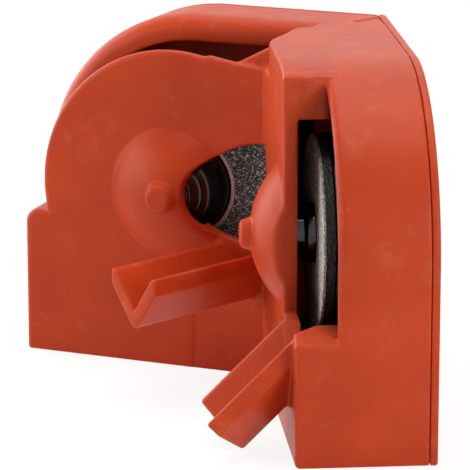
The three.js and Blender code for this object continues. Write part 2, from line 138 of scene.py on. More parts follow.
def makePlastic():
    look = plasticLook
    material, tree, place = newMaterial("mouldedPolypropylene")
    flow = addNode(tree, "ShaderNodeTexNoise", {
        "Scale": perMm(look["flowSize"]), "Detail": 4, "Distortion": look["flowBend"]}, place)
    flow = addNode(tree, "ShaderNodeValToRGB", {"stops": look["flowStops"]}, {"Fac": flow})
    worn = addNode(tree, "ShaderNodeTexNoise", {
        "Scale": perMm(look["rubSize"]), "Detail": 8, "Roughness": 0.7}, place)
    rub = addNode(tree, "ShaderNodeValToRGB", {"stops": look["rubStops"]}, {"Fac": worn})
    speck = addNode(tree, "ShaderNodeTexNoise", {
        "Scale": perMm(look["speckSize"]), "Detail": 6, "Roughness": 0.8}, place)
    speck = addNode(tree, "ShaderNodeValToRGB", {"stops": look["speckStops"]}, {"Fac": speck})
    patch = addNode(tree, "ShaderNodeTexNoise", {"Scale": perMm(look["patchSize"]), "Detail": 3}, place)
    patch = addNode(tree, "ShaderNodeValToRGB", {"stops": look["patchStops"]}, {"Fac": patch})
    speck = addNode(tree, "ShaderNodeMath", {"operation": "MULTIPLY"}, {0: speck, 1: patch})
    # painted shade: where the mesh's dust attribute is high, inside the chambers, the colour goes near black
    # and dull
    shadeLying = addNode(tree, "ShaderNodeAttribute", {"attribute_name": "dust"}).outputs["Fac"]
    shadeMottle = addNode(tree, "ShaderNodeTexNoise", {"Scale": perMm(look["dustSize"]), "Detail": 4}, place)
    shadeMottle = addNode(tree, "ShaderNodeValToRGB", {"stops": look["dustStops"]}, {"Fac": shadeMottle})
    dust = addNode(tree, "ShaderNodeMath", {"operation": "MULTIPLY"}, {0: shadeLying, 1: shadeMottle})

    shade = addNode(tree, "ShaderNodeMix", {
        "data_type": "RGBA", 6: colour(look["base"]), 7: colour(look["flow"])}, {0: flow}).outputs[2]
    for amount, paint in ((rub, look["rub"]), (speck, look["rub"]), (dust, look["dust"])):
        shade = addNode(tree, "ShaderNodeMix", {"data_type": "RGBA", 7: colour(paint)},
                        {0: amount, 6: shade}).outputs[2]
    rough = addNode(tree, "ShaderNodeValToRGB", {"stops": look["roughStops"]}, {"Fac": worn})
    rough = addNode(tree, "ShaderNodeMix", {"data_type": "RGBA", 7: [look["chamberShadeRough"]] * 3 + [1]},
                    {0: dust, 6: rough}).outputs[2]
    wave = addNode(tree, "ShaderNodeTexNoise", {"Scale": perMm(look["waveSize"]), "Detail": 1}, place)
    wave = addNode(tree, "ShaderNodeBump", {"Distance": look["waveHeight"] * mm, "Strength": 1},
                   {"Height": wave})
    peel = addNode(tree, "ShaderNodeTexNoise", {"Scale": perMm(look["peelSize"]), "Detail": 2}, place)
    peel = addNode(tree, "ShaderNodeBump", {"Distance": look["peelHeight"] * mm, "Strength": 1},
                   {"Height": peel, "Normal": wave})
    shader = addNode(tree, "ShaderNodeBsdfPrincipled", {
        "IOR": look["ior"], "Specular IOR Level": look["shine"], "Subsurface Weight": look["glow"],
        "Subsurface Radius": look["glowRadius"], "Subsurface Scale": look["glowScale"] * mm,
    }, {"Base Color": shade, "Roughness": rough, "Normal": peel})
    addNode(tree, "ShaderNodeOutputMaterial", {}, {"Surface": shader})
    return material


# moulded black nylon: deep black with a mirror-like skin that a faint haze dulls in places
hubLook = {"base": "0a0a0b", "ior": 1.5, "hazeSize": 6, "hazeStops": [(0.35, 0.07), (0.7, 0.16)]}


def makeHubPlastic():
    look = hubLook
    material, tree, place = newMaterial("glossyBlackNylon")
    haze = addNode(tree, "ShaderNodeTexNoise", {"Scale": perMm(look["hazeSize"]), "Detail": 6}, place)
    haze = addNode(tree, "ShaderNodeValToRGB", {"stops": look["hazeStops"]}, {"Fac": haze})
    shader = addNode(tree, "ShaderNodeBsdfPrincipled",
                     {"Base Color": colour(look["base"]), "IOR": look["ior"]}, {"Roughness": haze})
    addNode(tree, "ShaderNodeOutputMaterial", {}, {"Surface": shader})
    return material


# bonded abrasive: resin full of angular grains, each grain a facet with its own roughness, some painted pale
# as glints, a painted highlight
gritLooks = {
    "dark": {"name": "siliconCarbideGrit", "bond": "121313", "grain": "545e5e", "paintedGlint": "e0f4f2",
             "grainSize": 0.36, "height": 0.16, "paintedGlintFrom": 0.7},
    "light": {"name": "aluminiumOxideGrit", "bond": "968f87", "grain": "bcb5ac", "paintedGlint": "ece6de",
              "grainSize": 0.4, "height": 0.09, "paintedGlintFrom": 0.72},
}
facets = {"bondTo": 0.15, "grainFrom": 0.6, "paintedGlintAt": 0.95, "roughStops": [(0.3, 0.75), (0.95, 0.3)],
          "ior": 1.6, "relief": 0.9}


def makeGrit(look):
    material, tree, place = newMaterial(look["name"])
    cells = addNode(tree, "ShaderNodeTexVoronoi", {"Scale": perMm(look["grainSize"])}, place)
    tone = addNode(tree, "ShaderNodeSeparateColor", {}, {"Color": cells.outputs["Color"]})
    grain = colour(look["grain"])
    # painted highlight: the cells with the highest tone take the pale glint colour
    shade = addNode(tree, "ShaderNodeValToRGB", {"stops": [
        (facets["bondTo"], colour(look["bond"])), (facets["grainFrom"], grain), (look["paintedGlintFrom"], grain),
        (facets["paintedGlintAt"], colour(look["paintedGlint"]))]}, {"Fac": tone.outputs["Red"]})
    rough = addNode(tree, "ShaderNodeValToRGB", {"stops": facets["roughStops"]},
                    {"Fac": tone.outputs["Green"]})
    relief = addNode(tree, "ShaderNodeBump", {"Distance": look["height"] * mm, "Strength": facets["relief"]},
                     {"Height": cells.outputs["Distance"]})
    shader = addNode(tree, "ShaderNodeBsdfPrincipled", {"IOR": facets["ior"]},
                     {"Base Color": shade, "Roughness": rough, "Normal": relief})
    addNode(tree, "ShaderNodeOutputMaterial", {}, {"Surface": shader})
    return material


# the resin bond alone: a pale painted highlight on the ring's inner lip, black and dull on its rim and back
bondLooks = {
    "lip": {"name": "paintedHighlightBond", "base": "fff6ea", "dust": "d2c8ba", "dustSize": 0.5, "dustDetail": 4,
            "dustStops": [(0.4, 0), (0.62, 1)], "roughness": 0.42},
    "back": {"name": "blackResinBond", "base": "171415", "dust": "2c2726", "dustSize": 1.5, "dustDetail": 6,
             "dustStops": [(0.4, 0), (0.7, 1)], "roughness": 0.6},
}


def makeBond(look):
    material, tree, place = newMaterial(look["name"])
    dust = addNode(tree, "ShaderNodeTexNoise",
                   {"Scale": perMm(look["dustSize"]), "Detail": look["dustDetail"]}, place)
    dust = addNode(tree, "ShaderNodeValToRGB", {"stops": look["dustStops"]}, {"Fac": dust})
    shade = addNode(tree, "ShaderNodeMix", {
        "data_type": "RGBA", 6: colour(look["base"]), 7: colour(look["dust"])}, {0: dust}).outputs[2]
    shader = addNode(tree, "ShaderNodeBsdfPrincipled", {"Roughness": look["roughness"]},
                     {"Base Color": shade})
    addNode(tree, "ShaderNodeOutputMaterial", {}, {"Surface": shader})
    return material


# turned metal: a soft shine with faint stains, broken up by fine tool marks
metalLooks = {
    "steel": {"name": "turnedSteel", "base": "b4b5b7", "stain": "8f8e8c", "roughness": (0.22, 0.38)},
    "zinc": {"name": "zincPlatedSteel", "base": "c3c5c6", "stain": "a5a49a", "roughness": (0.25, 0.42)},
    "bronze": {"name": "sinteredBronze", "base": "a9794a", "stain": "6f4a28", "roughness": (0.4, 0.6)},
}
turning = {"stainSize": 3, "stainStops": [(0.42, 0), (0.7, 0.8)], "roughSize": 1.2, "roughFrom": 0.3,
           "roughTo": 0.7, "markSize": 0.25, "markHeight": 0.01, "markStrength": 0.6}


def makeMetal(look):
    material, tree, place = newMaterial(look["name"])
    stain = addNode(tree, "ShaderNodeTexNoise", {"Scale": perMm(turning["stainSize"]), "Detail": 6}, place)
    stain = addNode(tree, "ShaderNodeValToRGB", {"stops": turning["stainStops"]}, {"Fac": stain})
    shade = addNode(tree, "ShaderNodeMix", {
        "data_type": "RGBA", 6: colour(look["base"]), 7: colour(look["stain"])}, {0: stain}).outputs[2]
    low, high = look["roughness"]
    stops = [(turning["roughFrom"], low), (turning["roughTo"], high)]
    rough = addNode(tree, "ShaderNodeTexNoise", {"Scale": perMm(turning["roughSize"]), "Detail": 4}, place)
    rough = addNode(tree, "ShaderNodeValToRGB", {"stops": stops}, {"Fac": rough})
    marks = addNode(tree, "ShaderNodeTexNoise", {"Scale": perMm(turning["markSize"]), "Detail": 2}, place)
    marks = addNode(tree, "ShaderNodeBump", {
        "Distance": turning["markHeight"] * mm, "Strength": turning["markStrength"]}, {"Height": marks})
    shader = addNode(tree, "ShaderNodeBsdfPrincipled", {"Metallic": 1},
                     {"Base Color": shade, "Roughness": rough, "Normal": marks})
    addNode(tree, "ShaderNodeOutputMaterial", {}, {"Surface": shader})
    return material


# pressed wool felt: matt fibres with a soft sheen
feltLook = {"dark": "4c4844", "pale": "7d7770", "darkTo": 0.3, "paleFrom": 0.7, "fibreSize": 0.4,
            "height": 0.12, "roughness": 0.95, "sheen": 0.4}


def makeFelt():
    look = feltLook
    material, tree, place = newMaterial("pressedFelt")
    fibres = addNode(tree, "ShaderNodeTexNoise", {
        "Scale": perMm(look["fibreSize"]), "Detail": 8, "Roughness": 0.8}, place)
    shade = addNode(tree, "ShaderNodeValToRGB", {"stops": [
        (look["darkTo"], colour(look["dark"])), (look["paleFrom"], colour(look["pale"]))]}, {"Fac": fibres})
    relief = addNode(tree, "ShaderNodeBump", {"Distance": look["height"] * mm, "Strength": 1},
                     {"Height": fibres})
    shader = addNode(tree, "ShaderNodeBsdfPrincipled",
                     {"Roughness": look["roughness"], "Sheen Weight": look["sheen"]},
                     {"Base Color": shade, "Normal": relief})
    addNode(tree, "ShaderNodeOutputMaterial", {}, {"Surface": shader})
    return material


plastic = makePlastic()
hubPlastic = makeHubPlastic()
grits = {name: makeGrit(look) for name, look in gritLooks.items()}
bonds = {name: makeBond(look) for name, look in bondLooks.items()}
metals = {name: makeMetal(look) for name, look in metalLooks.items()}
felt = makeFelt()
print("materials made")


# the moulding: both drums' sizes. Depths run inward from a drum's front face, heights from its axle
casing = {
    "rim": 45, "rightDepth": 35, "shellDepth": 22,
    "slot": 15.5,  # from the left panel's face to the shell behind the open slot
    "wall": 2.4, "rightPanel": 3.6, "leftPanel": 3, "cover": 1.9, "gap": 0.3,
    "lap": 1.8, "past": 1,  # how far a wall runs into its neighbour, and a cut past its face
    "corner": -26.8, "slotEnd": -31.4, "wheelRoom": 34,
    "arch": 38.2, "archEnd": -12, "panelBelow": 9,  # the left panel's top
    "baseBelow": 8.5, "baseCorner": 3.6, "baseDraft": 1.3,
    "stepFrom": -6.15, "stepTop": -20, "stepDepth": 0.35,
    "cutBack": -24.5, "cutFront": -9.5,  # the notch in the roof, next to the corner
    "roundRise": 2, "roundFrom": 10, "roundRun": 4,  # where the slot's end takes the fascia's wide rounding
    "rampRise": 5.6, "rampStart": -13.3, "rampThickness": 2.2,
    "recess": 10.2, "recessBack": -14.5, "recessBelow": 17, "widenFrom": 6, "widenRun": 3,
    "ledge": 9, "ledgeRise": 3, "head": 13,
    "postRadius": 3.6, "postLength": 16, "pilot": 1.8, "pilotLength": 11,
    "facet": (7, 49.5), "facetAway": (0.631, -0.776), "facetWidth": 9, "facetStep": 0.45,
}
casing["leftDepth"] = casing["slot"] + casing["shellDepth"]
casing["rightCase"] = casing["rightDepth"] - casing["cover"] - casing["gap"]
casing["leftCase"] = casing["leftDepth"] - casing["cover"] - casing["gap"]
casing["lapEnd"] = casing["corner"] - casing["lap"]
# radii of its edges, and of the fillets where its walls meet
edges = {
    "foot": 0.6, "side": 1.3, "fascia": 5, "join": 0.2, "base": 1.0, "panel": 1.42, "cut": 0.5, "step": 0.15,
    "recess": 0.8, "recessFront": 2.6, "window": 0.6, "notch": 1.2, "facet": 0.05, "guide": 0.5,
    "ridge": 0.3, "mouth": 0.4, "web": 1.0, "sill": 0.3, "sillEnd": 0.6,
    "fillet": 0.7, "shoulder": 4, "root": 0.8, "sillRoot": 0.5,
}

lightJoint = joints["light_wheel_spin"]
darkJoint = joints["dark_wheel_spin"]
axle = lightJoint["pos_m"][2] / mm
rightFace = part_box("right_cover")[1].x / mm - casing["rightDepth"]


# each drum's own directions, with its origin where the axle meets the front face
def drumFrame(origin, inward):
    inward = Vector(inward).normalized()
    across = Vector((-inward.y, inward.x, 0))
    return {"origin": Vector(origin), "across": across, "inward": inward}


rightDrum = drumFrame((rightFace, lightJoint["pos_m"][1] / mm, axle), lightJoint["axis"])
leftDrum = drumFrame([v / mm for v in darkJoint["pos_m"]], darkJoint["axis"])


# a block of cells, with each cell's distances along both drums' directions, in millimetres
def makeSpace(low, high, cell):
    x, y, z = (np.arange(a, b, cell, dtype=np.float32) for a, b in zip(low, high))
    x, y, z = x[:, None, None], y[None, :, None], z[None, None, :]
    space = {"low": low, "cell": cell, "x": x, "y": y, "z": z}
    for name, drum in (("right", rightDrum), ("left", leftDrum)):
        dx, dy = x - drum["origin"].x, y - drum["origin"].y
        space[name] = {
            "across": dx * drum["across"].x + dy * drum["across"].y,
            "depth": dx * drum["inward"].x + dy * drum["inward"].y,
            "up": z - axle,
        }
    return space


# fields are distances to a surface, negative inside the plastic
def roundOver(a, b, radius):  # inside both, with their shared edge rounded
    both = np.minimum(-radius, np.maximum(a, b))
    return both + np.sqrt(np.maximum(a + radius, 0) ** 2 + np.maximum(b + radius, 0) ** 2)


def blendIn(a, b, radius):  # inside either, with a fillet where they meet
    either = np.maximum(radius, np.minimum(a, b))
    return either - np.sqrt(np.maximum(radius - a, 0) ** 2 + np.maximum(radius - b, 0) ** 2)


def cutAway(a, b, radius):
    return roundOver(a, -b, radius)


def allOf(*fields):
    whole = fields[0]
    for field in fields[1:]:
        whole = np.maximum(whole, field)
    return whole


# a drum seen from its front: round at the top on its rim's side, square elsewhere
def drumField(side, rimSide, radius):
    outward, up = rimSide * side["across"], side["up"]
    corner = (outward > 0) & (up > 0)
    return np.where(corner, np.hypot(outward, up), np.maximum(outward, up)) - radius


# an outline in the left drum's plane, cut straight through
def outlineField(side, points, low, high, step=0.2):
    across = np.arange(low, high, step, dtype=np.float32)
    table = polygonDistance(points, across[:, None], side["up"].reshape(1, -1))
    place = np.clip((side["across"][..., 0] - low) / step, 0, len(across) - 1.001)
    index = place.astype(np.int32)
    share = (place - index)[..., None]
    return (table[index] * (1 - share) + table[index + 1] * share).astype(np.float32)


def polygonDistance(points, x, y):
    nearest = np.full(np.broadcast(x, y).shape, 1e9, np.float32)
    inside = np.zeros(nearest.shape, bool)
    for (ax, ay), (bx, by) in zip(points, points[1:] + points[:1]):
        ex, ey = bx - ax, by - ay
        along = np.clip(((x - ax) * ex + (y - ay) * ey) / (ex * ex + ey * ey), 0, 1)
        nearest = np.minimum(nearest, np.hypot(x - ax - along * ex, y - ay - along * ey))
        crosses = (ay > y) != (by > y)
        inside ^= crosses & (x < ax + (y - ay) / (ey if ey else 1e-9) * ex)
    return np.where(inside, -nearest, nearest)


def softened(points, passes):  # corner cutting on a closed outline
    for _ in range(passes):
        points = [(a[0] * (1 - t) + b[0] * t, a[1] * (1 - t) + b[1] * t)
                  for a, b in zip(points, points[1:] + points[:1]) for t in (0.25, 0.75)]
    return points


# the bearing dome: a shallow cap on the axle with the pip on its tip, and the hollow inside
dome = {"radius": 17.2, "height": 7, "hollowRadius": 12.2, "hollowHeight": 3.3, "seatRadius": 3.4,
        "seatHeight": 6.8, "pipHeight": 2.6, "pipBase": 4.2, "pipTip": 3.4, "pipEdge": 0.7, "fillet": 0.4}


def capField(distance, height, radius, rise):
    ball = (radius ** 2 + rise ** 2) / (2 * rise)
    return np.hypot(distance, height + ball - rise) - ball


def domeField(side, panel):
    distance, height = np.hypot(side["across"], side["up"]), -side["depth"]
    cap = capField(distance, height, dome["radius"], dome["height"])
    taper = (dome["pipBase"] - dome["pipTip"]) / dome["pipHeight"]
    pip = (distance - dome["pipBase"] + (height - dome["height"]) * taper) / math.hypot(1, taper)
    pip = roundOver(pip, height - dome["height"] - dome["pipHeight"], dome["pipEdge"])
    pip = np.maximum(pip, dome["height"] / 2 - height)
    return np.maximum(blendIn(cap, pip, dome["fillet"]), side["depth"] - panel), distance


def bellField(side, panel, distance):  # the hollow behind the dome, with the bush's seat in its tip
    cap = capField(distance, -side["depth"], dome["hollowRadius"], dome["hollowHeight"])
    bell = np.where(side["depth"] > 0, distance - dome["hollowRadius"], cap)
    seat = np.maximum(distance - dome["seatRadius"], -side["depth"] - dome["seatHeight"])
    return np.maximum(np.minimum(bell, seat), side["depth"] - panel - casing["past"])


# the V guides, each along its own axis from the low end up to the wall
guides = {
    "upper": {"foot": (-20.77, 36.24, 20.4), "heading": 37, "rise": 1.2, "halfWidth": 8.6, "tall": 15.4,
              "low": -40.8},
    "lower": {"foot": (-17.5, -29.4, 11), "heading": 0, "rise": 45, "halfWidth": 10.6, "tall": 14.2,
              "low": -15.44},
    "thickness": 2.3, "floor": 1.9, "topWidth": 1.6, "sideHeight": 4.2, "tip": 0.7, "fold": 0.2,
    "rightRoot": 1.8, "leftRoot": 1.5,  # how far they run into the walls
    "windowRoom": 0.9, "windowFront": 3, "faceLap": 0.2, "grooveShort": 0.3,
}


def guideField(space, guide):
    heading, rise = math.radians(guide["heading"]), math.radians(guide["rise"])
    along = Vector((math.cos(heading) * math.cos(rise), math.sin(heading) * math.cos(rise), math.sin(rise)))
    sideways = Vector((math.sin(heading), -math.cos(heading), 0))
    lift = sideways.cross(along)
    offset = [space[axis] - foot for axis, foot in zip("xyz", guide["foot"])]
    run, across, up = (sum(o * v for o, v in zip(offset, direction))
                       for direction in (along, sideways, lift))
    half, tall, past = guide["halfWidth"], guide["tall"], casing["past"]
    sideFoot, mouth = tall - guides["sideHeight"], half - guides["topWidth"]
    inner = guides["thickness"] / math.sin(math.atan2(half, sideFoot)) + guides["floor"]
    spread = np.abs(across)
    tip = np.sqrt(across ** 2 + guides["tip"] ** 2)
    outerSlope = (sideFoot * tip - half * up) / math.hypot(sideFoot, half)
    innerSlope = (mouth * (up - inner) - (tall - inner) * spread) / math.hypot(mouth, tall - inner)
    outside = roundOver(outerSlope, spread - half, guides["fold"])
    wing = roundOver(outside, roundOver(up - tall, innerSlope, edges["guide"]), edges["ridge"])
    wing = roundOver(wing, guide["low"] - run, edges["guide"])
    groove = allOf(-innerSlope, up - tall - past, guide["low"] - past - run)
    return wing, groove


# both guides cut clear of the window and the recess, and both grooves
def guideFields(space, recess, opening, floor):
    right, left = space["right"], space["left"]
    upper, upperGroove = guideField(space, guides["upper"])
    lower, lowerGroove = guideField(space, guides["lower"])
    upper = allOf(upper, right["depth"] - guides["rightRoot"], left["depth"] - guides["leftRoot"])
    clear = np.maximum(opening - guides["windowRoom"], -guides["windowFront"] - left["depth"])
    upper = cutAway(upper, clear, edges["ridge"])
    lower = allOf(lower, right["depth"] - guides["rightRoot"], floor)
    lower = cutAway(lower, np.maximum(recess, guides["faceLap"] - right["depth"]), edges["mouth"])
    upperGroove = allOf(upperGroove, right["depth"] + guides["grooveShort"], left["depth"])
    lowerGroove = allOf(lowerGroove, right["depth"] - casing["recess"])
    return upper, lower, np.minimum(upperGroove, lowerGroove)


# the window in the left panel: a round nose by the axle that widens into a fan
window = {
    "nose": [(-6.9, 6.3), (-5.6, 4.1), (-5.2, 1.2), (-5.4, -1.8), (-6.3, -4.3), (-7.9, -6.7)],
    "below": [(-10.9, -8.8), (-14.7, -10.4), (-19, -11.4), (-27.9, -14)],
    "above": [(-28.4, 15.2), (-24.4, 15.1), (-21.1, 14.5), (-17.6, 13.2), (-14.1, 11.5), (-11.3, 9.9),
              (-8.6, 8.2)],
    "softening": 2, "from": -30, "to": -4, "front": 10.6,
}


def openingField(left):
    points = softened(window["nose"] + window["below"] + window["above"], window["softening"])
    opening = outlineField(left, points, window["from"], window["to"])
    return allOf(opening, left["depth"] - casing["leftPanel"] - casing["past"],
                 -window["front"] - left["depth"])


def postField(side, places, end):
    post = None
    for across, up in places:
        distance = np.hypot(side["across"] - across, side["up"] - up)
        body = allOf(distance - casing["postRadius"], end - casing["postLength"] - side["depth"])
        hole = allOf(distance - casing["pilot"], end - casing["pilotLength"] - side["depth"])
        one = (body, hole)
        post = one if post is None else tuple(np.minimum(a, b) for a, b in zip(post, one))
    return post


def screwPlaces(prefix, drum):
    places = []
    for number in range(1, 5):
        low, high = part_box(f"{prefix}_screw_{number}")
        centre = (low + high) / 2 / mm - drum["origin"]
        places.append((centre.dot(drum["across"]), centre.z))
    return places


rightScrews = screwPlaces("right_cover", rightDrum)
leftScrews = screwPlaces("rear_cover", leftDrum)


def drumFields(right, left, floor):
    drum = roundOver(drumField(right, -1, casing["rim"]), floor, edges["foot"])
    shell = roundOver(drumField(left, 1, casing["rim"]), floor, edges["foot"])
    return (roundOver(drum, -right["depth"], edges["side"]),
            roundOver(shell, casing["slot"] - left["depth"], edges["fascia"]))


def slotField(left):
    return allOf(casing["slotEnd"] - left["across"], -casing["baseBelow"] - left["up"],
                 casing["leftPanel"] - left["depth"], left["depth"] - casing["slot"])


# the slot's end is rounded as widely as the fascia, but only high up and deep in
def slotRounding(left):
    high = np.clip((left["up"] - casing["arch"]) / casing["roundRise"], 0, 1)
    deep = np.clip((left["depth"] - casing["roundFrom"]) / casing["roundRun"], 0, 1)
    return edges["cut"] + (edges["fascia"] - edges["cut"]) * (high * deep)


# the left drum's front panel, and the base block behind its foot
def blockField(left, floor):
    c, up = casing, left["up"]
    draft = c["baseDraft"] * np.clip(1 - left["depth"] / c["slot"], 0, 1)
    base = roundOver(left["across"] - c["rim"] + draft, up + c["baseBelow"], c["baseCorner"])
    arch = np.hypot(left["across"], up) - c["arch"]
    shoulder = np.maximum(up - c["rim"] + c["panelBelow"], left["across"] - c["archEnd"])
    front = np.minimum(blendIn(arch, shoulder, edges["shoulder"]), base)
    panel = roundOver(front, np.maximum(-left["depth"], left["depth"] - c["leftPanel"]), edges["panel"])
    block = allOf(roundOver(base, left["depth"] - c["slot"] - c["wall"], edges["base"]),
                  c["leftPanel"] / 2 - left["depth"])
    return allOf(roundOver(np.minimum(panel, block), floor, edges["foot"]), c["lapEnd"] - left["across"])


def recessField(right):
    return allOf(right["depth"] - casing["recess"], right["across"] - casing["recessBack"],
                 -casing["recessBelow"] - right["up"])


# what is cut from outside: the recess, the base's low step, the notch in the roof and the window
def cutFaces(whole, right, left, recess, opening):
    c, up = casing, left["up"]
    widen = np.clip((right["depth"] - c["widenFrom"]) / c["widenRun"], 0, 1)
    whole = cutAway(whole, recess, edges["recess"] + (edges["recessFront"] - edges["recess"]) * widen)
    step = allOf(left["across"] - c["stepFrom"], left["depth"] - c["stepDepth"], up - c["stepTop"],
                 c["corner"] - left["across"], -c["past"] - left["depth"])
    whole = cutAway(whole, step, edges["step"])
    notch = allOf(c["slotEnd"] - left["across"], left["across"] - c["cutBack"],
                  c["cutFront"] - left["depth"], left["depth"] - c["leftPanel"] - c["past"],
                  c["rim"] - c["panelBelow"] - up)
    whole = cutAway(whole, notch, edges["notch"])
    return cutAway(whole, opening, edges["window"])


# what is hollow behind the walls: both chambers, the base, the slot's mouth and the room round the wheel
def chamberField(right, left, floor, leftDistance):
    c, up = casing, left["up"]
    inside = c["rim"] - c["wall"]
    rightChamber = allOf(drumField(right, -1, inside), floor + c["wall"], c["rightPanel"] - right["depth"],
                         left["depth"] - c["leftCase"] + c["wall"])
    slotEnd = allOf(c["slotEnd"] - c["wall"] - left["across"], left["depth"] - c["slot"] - c["wall"], -up)
    rightChamber = np.maximum(rightChamber, -slotEnd)
    leftChamber = allOf(drumField(left, 1, inside), floor + c["wall"], c["slot"] + c["wall"] - left["depth"],
                        right["depth"] - c["rightCase"] + c["wall"])
    through = np.maximum(c["leftPanel"] - left["depth"], left["depth"] - c["slot"] - c["wall"] - c["past"])
    baseRoom = allOf(left["across"] - inside, c["slotEnd"] - left["across"], floor + c["wall"],
                     up + c["baseBelow"] + c["wall"], through)
    mouth = allOf(drumField(left, 1, c["arch"]), -c["baseBelow"] - up, c["lapEnd"] - left["across"], through)
    wheelRoom = np.maximum(leftDistance - c["wheelRoom"], through)
    chamber = rightChamber
    for field in (leftChamber, baseRoom, mouth, wheelRoom):
        chamber = np.minimum(chamber, field)
    return chamber


# the roof's facet: a shallow step that runs out to nothing
def facetField(space, up):
    (x, y), (awayX, awayY) = casing["facet"], casing["facetAway"]
    past = (space["x"] - x) * awayX + (space["y"] - y) * awayY
    along = (space["y"] - y) * awayX - (space["x"] - x) * awayY
    drop = casing["facetStep"] * (1 - past / casing["facetWidth"])
    return allOf(-past, past - casing["facetWidth"], -along, casing["rim"] - drop - up)


# the sloping web between the panel's top and the right drum
def rampField(left):
    c = casing
    slope = c["rampRise"] + c["wall"]
    length = c["rampStart"] - c["corner"] + c["lap"]
    rise = left["up"] - c["rim"] + c["panelBelow"] + c["wall"]
    web = (rise * length - slope * (c["rampStart"] - left["across"])) / math.hypot(slope, length)
    web = roundOver(web, np.abs(left["depth"] - c["leftPanel"]) - c["rampThickness"] / 2, edges["web"])
    return allOf(web, -rise, c["lapEnd"] - left["across"])


def sillField(right):  # the recess's sill, which slopes down to the front
    c = casing
    lift = right["up"] + c["recessBelow"] - (right["across"] + c["rim"]) * c["ledgeRise"] / c["ledge"]
    sill = roundOver(lift, -lift - c["wall"], edges["sill"])
    width = np.maximum(right["across"] + c["rim"] - c["ledge"], -c["rim"] - right["across"])
    depth = np.maximum(-right["depth"], right["depth"] - c["recess"] - c["wall"])
    return roundOver(roundOver(sill, width, edges["sillEnd"]), depth, edges["sillEnd"])


def headField(right):  # the wall at the recess's head
    c = casing
    return allOf(-right["depth"], right["depth"] - c["recess"] - c["wall"],
                 c["recessBack"] - right["across"], right["across"] - c["recessBack"] - c["wall"],
                 c["rim"] - c["head"] - right["up"], drumField(right, -1, c["rim"]))


def casingField(space):
    right, left = space["right"], space["left"]
    floor = -axle - right["up"]
    drum, shell = drumFields(right, left, floor)
    slot = slotField(left)
    recess, opening = recessField(right), openingField(left)
    rightDome, rightDistance = domeField(right, casing["rightPanel"])
    leftDome, leftDistance = domeField(left, casing["leftPanel"])

    whole = np.minimum(cutAway(drum, slot, slotRounding(left)), shell)
    whole = blendIn(whole, blockField(left, floor), edges["fillet"])
    whole = blendIn(blendIn(whole, rightDome, dome["fillet"]), leftDome, dome["fillet"])
    whole = cutFaces(whole, right, left, recess, opening)
    upperWing, lowerWing, grooves = guideFields(space, recess, opening, floor)
    whole = blendIn(blendIn(whole, upperWing, edges["root"]), lowerWing, edges["root"])

    hollow = np.minimum(chamberField(right, left, floor, leftDistance), slot)
    for bell in (bellField(right, casing["rightPanel"], rightDistance),
                 bellField(left, casing["leftPanel"], leftDistance)):
        hollow = np.minimum(hollow, bell)
    whole = cutAway(whole, hollow, edges["cut"])
    whole = cutAway(whole, facetField(space, right["up"]), edges["facet"])
    whole = blendIn(whole, rampField(left), edges["root"])
    whole = blendIn(blendIn(whole, sillField(right), edges["sillRoot"]), headField(right), edges["sillRoot"])

    for side, places, end, within in ((right, rightScrews, casing["rightCase"], drum),
                                      (left, leftScrews, casing["leftCase"], shell)):
        post, pilot = postField(side, places, end)
        whole = np.maximum(np.minimum(whole, np.maximum(post, within)), -pilot)
    whole = cutAway(whole, grooves, edges["mouth"])
    whole = allOf(whole, floor, -casing["rim"] - right["across"])
    ends = np.maximum(right["depth"] - casing["rightCase"], left["depth"] - casing["leftCase"])
    return roundOver(whole, ends, edges["join"])


# a mesh on the surface of a field, thinned to a share of its faces
def meshField(name, field, space, keepShare):
    cell = space["cell"]
    band = 3 * cell
    grid = openvdb.FloatGrid(band)
    grid.copyFromArray(np.ascontiguousarray(np.clip(field, -band, band), dtype=np.float32))
    points, triangles, quads = grid.convertToPolygons(isovalue=0.0, adaptivity=0.0)
    points = (points * cell + np.array(space["low"])) * mm
    mesh = bpy.data.meshes.new(name)
    mesh.from_pydata(points.tolist(), [], quads.tolist() + triangles.tolist())
    mesh.update()
    obj = bpy.data.objects.new(name, mesh)
    bpy.context.scene.collection.objects.link(obj)
    print(name, "has", len(quads), "quads before thinning")
    obj.modifiers.new("thin", "DECIMATE").ratio = keepShare
    applyModifiers(obj)
    keepLargest(obj)
    obj.data.polygons.foreach_set("use_smooth", [True] * len(obj.data.polygons))
    return obj


def applyModifiers(obj):
    graph = bpy.context.evaluated_depsgraph_get()
    made = bpy.data.meshes.new_from_object(obj.evaluated_get(graph))
    obj.modifiers.clear()
    obj.data = made


# one joined surface is kept, and loose crumbs of the field go
def keepLargest(obj):
    mesh = obj.data
    ends = np.empty(len(mesh.edges) * 2, np.int32)
    mesh.edges.foreach_get("vertices", ends)
    ends = ends.reshape(-1, 2)
    label, before = np.arange(len(mesh.vertices)), None
    while before is None or (label != before).any():
        before = label
        lowest = label[ends].min(axis=1)
        label = label.copy()
        np.minimum.at(label, ends[:, 0], lowest)
        np.minimum.at(label, ends[:, 1], lowest)
        label = label[label]
    names, counts = np.unique(label, return_counts=True)
    loose = np.flatnonzero(label != names[counts.argmax()])
    print(obj.name, "has", len(names) - 1, "loose parts,", len(loose), "points in all")
    trimmed = bmesh.new()
    trimmed.from_mesh(mesh)
    trimmed.verts.ensure_lookup_table()
    bmesh.ops.delete(trimmed, geom=[trimmed.verts[i] for i in loose.tolist()], context="VERTS")
    trimmed.to_mesh(mesh)
    trimmed.free()


def blockAround(node, margin):
    low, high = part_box(node)
    return [v / mm - margin for v in low], [v / mm + margin for v in high]


def dress(obj, material, body, node):
    obj.data.materials.clear()
    obj.data.materials.append(material)
    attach(obj, body)
    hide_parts(node)


